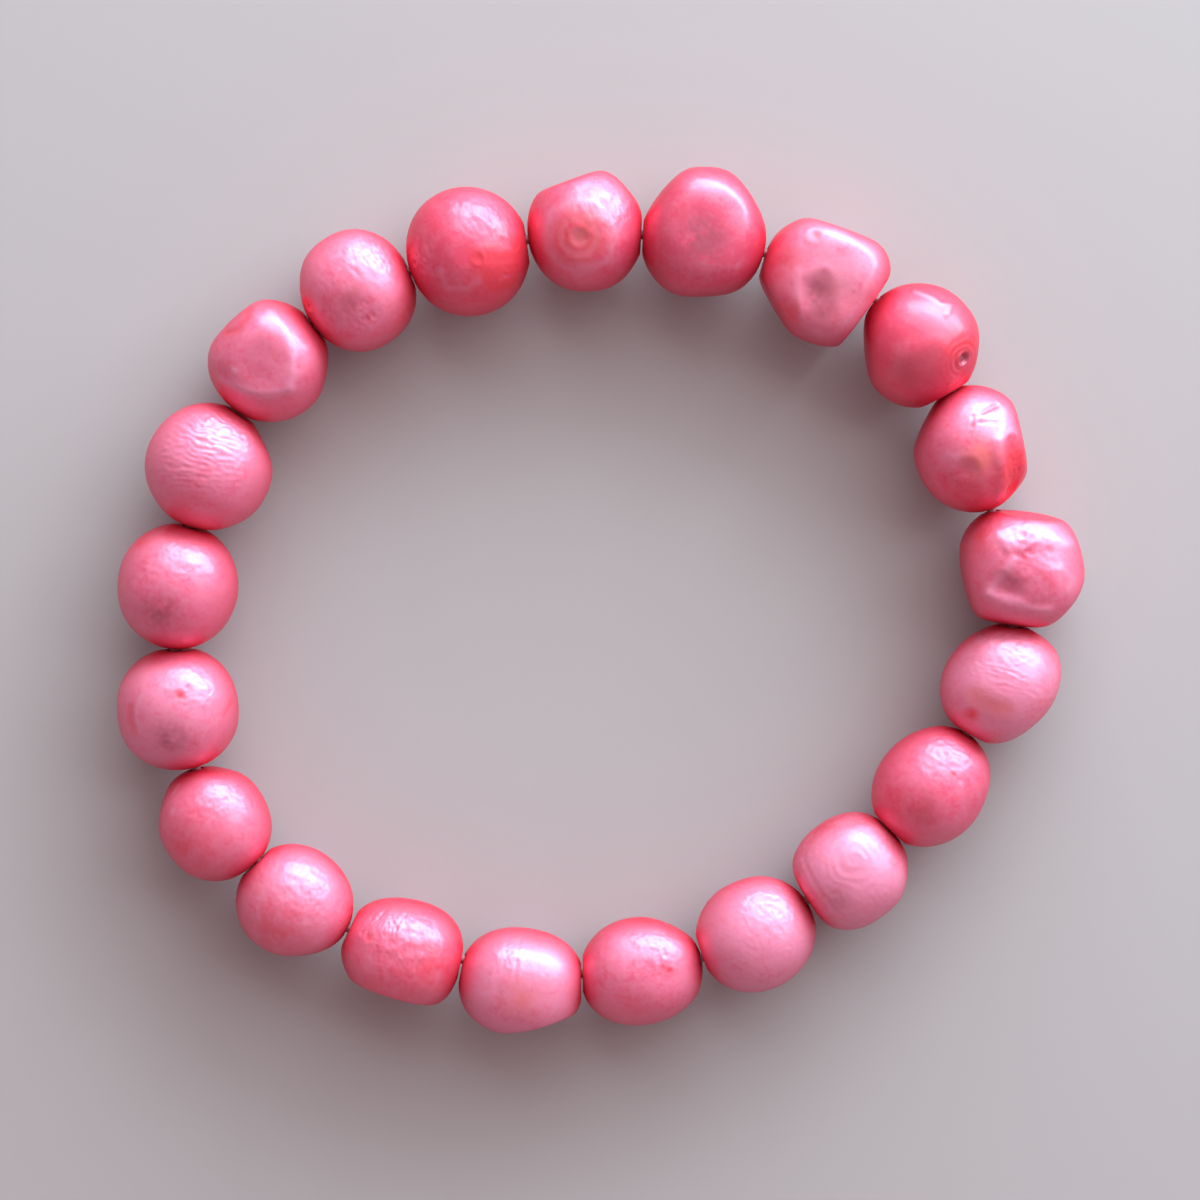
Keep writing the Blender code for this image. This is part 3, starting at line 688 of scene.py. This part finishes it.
def gridFaces(rows, sides):
    # Four-sided faces between rings, and a texture place for each corner. The last ring joins the first.
    places = np.meshgrid(np.arange(rows), np.arange(sides), indexing="ij")
    row, side = (values.ravel() for values in places)
    here, following, nearby = row * sides, (row + 1) % rows * sides, (side + 1) % sides
    faces = np.stack([here + side, here + nearby, following + nearby, following + side], 1)
    u = np.stack([side, side + 1, side + 1, side], 1) / sides
    v = np.stack([row, row, row + 1, row + 1], 1) / rows
    return faces, np.stack([u, v], 2)


def keptInside(points):
    # The skin eases off just before the walls and the lid of the solid model's box. In metres.
    margin = skin["boxMargin"] / 1000
    low, high = (np.array(corner) for corner in cadBox)
    over, under = points - high + margin, low + margin - points
    points = np.where(over > 0, high - margin * np.exp(-over / margin), points)
    under[:, 2] = 0
    return np.where(under > 0, low + margin * np.exp(-under / margin), points)


def cordLine(points):
    # Straight through each pearl, with the corner at each joint rounded off.
    line, room = [], 1.5 * bracelet["cord"]
    for index, here in enumerate(points):
        back = unit(points[index - 1] - here)
        ahead = unit(points[(index + 1) % len(points)] - here)
        line += [here + back * room, here + (back + ahead) * room / 4, here + ahead * room]
    return np.array(line)


def smoothed(line, times=2):
    for _ in range(times):
        following = np.roll(line, -1, 0)
        line = np.stack([line * 0.75 + following * 0.25, line * 0.25 + following * 0.75], 1).reshape(-1, 2)
    return line


# The solid model is shifted so that its box is centred. The cord's box shows by how much.
joints = np.array(routeShares) * (bracelet["loopLength"] / 2, bracelet["loopWidth"] / 2)
cornersOfCord = cordLine(joints)
cordBox = np.array(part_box("elastic_cord"))[:, :2] * 1000
shift = np.append(cordBox.mean(0) - (cornersOfCord.min(0) + cornersOfCord.max(0)) / 2, 0.0)
print("shift of the string, mm:", shift.round(3))

nacre = nacreMaterial()
skinFaces, skinUvs = gridFaces(skin["rings"], skin["sides"])
for index in range(len(pearlRows)):
    form = PearlForm(index, joints)
    form.settle()
    grid = form.grid()
    flatGrid, normals = grid.reshape(-1, 3), gridNormals(grid).reshape(-1, 3)
    height, tint = relief(form, flatGrid)
    raised = flatGrid + normals * calmed(form, flatGrid, height)[:, None]
    # side: painted shade and painted pink light down the sides, and round the bore mouths, where some of it
    # is dye.
    tint["side"] = paintedSideShadeAndMouthDye(form, flatGrid, normals)
    tint["satin"] = np.full(len(flatGrid), form.row["rough"])
    name = f"pearl_{index + 1:02d}"
    points = keptInside((form.placed(raised) + shift) / 1000)
    piece = addPiece(f"nacre_{index + 1:02d}", points, skinFaces, nacre, skinUvs, tint)
    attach(piece, "root")
    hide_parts(name)
print("pearls made:", len(pearlRows))

# The tube is a little thinner than the solid model's, so that it stays inside that.
# The elastic is clear; its dark pink colours are painted shade and painted pink light from the pearls round
# it.
elasticLook = dict(colour=(0.42, 0.20, 0.22), warm=(0.46, 0.12, 0.16), gloss=0.45, sides=20, thickness=0.97)


def elasticMaterial():
    recipe = Recipe("clearElastic")
    cloudy = recipe.noise(recipe.millimetres(), 1.1, 2.0)
    colour = recipe.blend(cloudy, elasticLook["colour"], elasticLook["warm"])
    return recipe.finish(
        Base_Color=colour, Roughness=elasticLook["gloss"] + cloudy * 0.1, Subsurface_Weight=0.3,
        Subsurface_Radius=(0.5, 0.4, 0.4), Subsurface_Scale=0.0005)


def makeElastic():
    line = smoothed(cornersOfCord)
    ahead = np.roll(line, -1, 0) - np.roll(line, 1, 0)
    ahead /= np.linalg.norm(ahead, axis=1)[:, None]
    sideways = np.column_stack([-ahead[:, 1], ahead[:, 0], np.zeros(len(line))])
    sides, radius = elasticLook["sides"], elasticLook["thickness"] * bracelet["cord"] / 2
    turns = np.linspace(0, 2 * np.pi, sides, endpoint=False)[None, :, None]
    middle = np.column_stack([line, np.full(len(line), bracelet["cordHeight"])])[:, None]
    tube = middle + (sideways[:, None] * np.cos(turns) + np.array([0, 0, 1.0]) * np.sin(turns)) * radius
    faces, uvs = gridFaces(len(line), sides)
    points = (tube.reshape(-1, 3) + shift) / 1000
    piece = addPiece("elasticLoop", points, faces, elasticMaterial(), uvs)
    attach(piece, "root")
    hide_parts("elastic_cord")


makeElastic()
print("elastic made")

floorLook = dict(colour=(0.36, 0.41, 0.40), roughness=0.8, size=1.6)


def makeFloor():
    recipe = Recipe("paleFloor")
    material = recipe.finish(Base_Color=(*floorLook["colour"], 1), Roughness=floorLook["roughness"])
    reach = floorLook["size"] / 2
    corners = np.array([(-reach, -reach, 0), (reach, -reach, 0), (reach, reach, 0), (-reach, reach, 0)])
    addPiece("floor", corners, np.array([[0, 1, 2, 3]]), material)


makeFloor()

# Where each lamp stands: turn in degrees from the right of the picture, height in degrees, metres away.
lamps = [
    dict(name="window", turn=64, height=23, far=0.50, wide=0.78, tall=0.20,
         watts=3.6, colour=(0.93, 0.90, 1.0)),
    dict(name="pane", turn=66, height=24, far=0.49, wide=0.34, tall=0.08,
         watts=0.8, colour=(0.84, 0.92, 1.0)),
    dict(name="sill", turn=64, height=9, far=0.52, wide=0.90, tall=0.16,
         watts=3.9, colour=(0.90, 0.88, 1.0)),
    dict(name="sky", turn=62, height=48, far=0.70, wide=1.20, tall=0.36,
         watts=3.3, colour=(1.0, 0.93, 0.97)),
]
lampTarget = Vector((0, 0, 0.004))
roomLight = dict(colour=(1.0, 0.60, 0.66), strength=0.54)


def facing(place, target, up):
    back = (place - target).normalized()
    right = up.cross(back).normalized()
    turned = Matrix((right, back.cross(right), back)).transposed().to_4x4()
    return Matrix.Translation(place) @ turned


def makeLights():
    for row in lamps:
        lamp = bpy.data.lights.new(row["name"], "AREA")
        lamp.shape, lamp.size, lamp.size_y = "RECTANGLE", row["wide"], row["tall"]
        lamp.energy, lamp.color = row["watts"], row["colour"]
        aim = Vector(direction(row["turn"], row["height"]))
        holder = bpy.data.objects.new(row["name"], lamp)
        holder.matrix_world = facing(aim * row["far"], lampTarget, Vector((0, 0, 1)))
        bpy.context.scene.collection.objects.link(holder)
    world = bpy.data.worlds.new("softRoom")
    world.use_nodes = True
    backdrop = world.node_tree.nodes["Background"].inputs
    backdrop["Color"].default_value = (*roomLight["colour"], 1)
    backdrop["Strength"].default_value = roomLight["strength"]
    bpy.context.scene.world = world


makeLights()
print("lights set")


def makeCamera(sensor=36):
    height = bracelet["cordHeight"]
    target = Vector((view["aim"][0] + shift[0], view["aim"][1] + shift[1], height)) / 1000
    place = Vector((view["over"][0] + shift[0], view["over"][1] + shift[1], height + view["height"])) / 1000
    camera = bpy.data.cameras.new("camera")
    camera.sensor_fit, camera.sensor_width, camera.sensor_height = "HORIZONTAL", sensor, sensor
    camera.lens = sensor * (place - target).length * 1000 / view["frame"]
    camera.clip_start = 0.01
    holder = bpy.data.objects.new("camera", camera)
    holder.matrix_world = facing(place, target, Vector((0, 1, 0)))
    bpy.context.scene.collection.objects.link(holder)
    bpy.context.scene.camera = holder


makeCamera()
bpy.context.scene.view_settings.view_transform = "Standard"

print("scene ready")
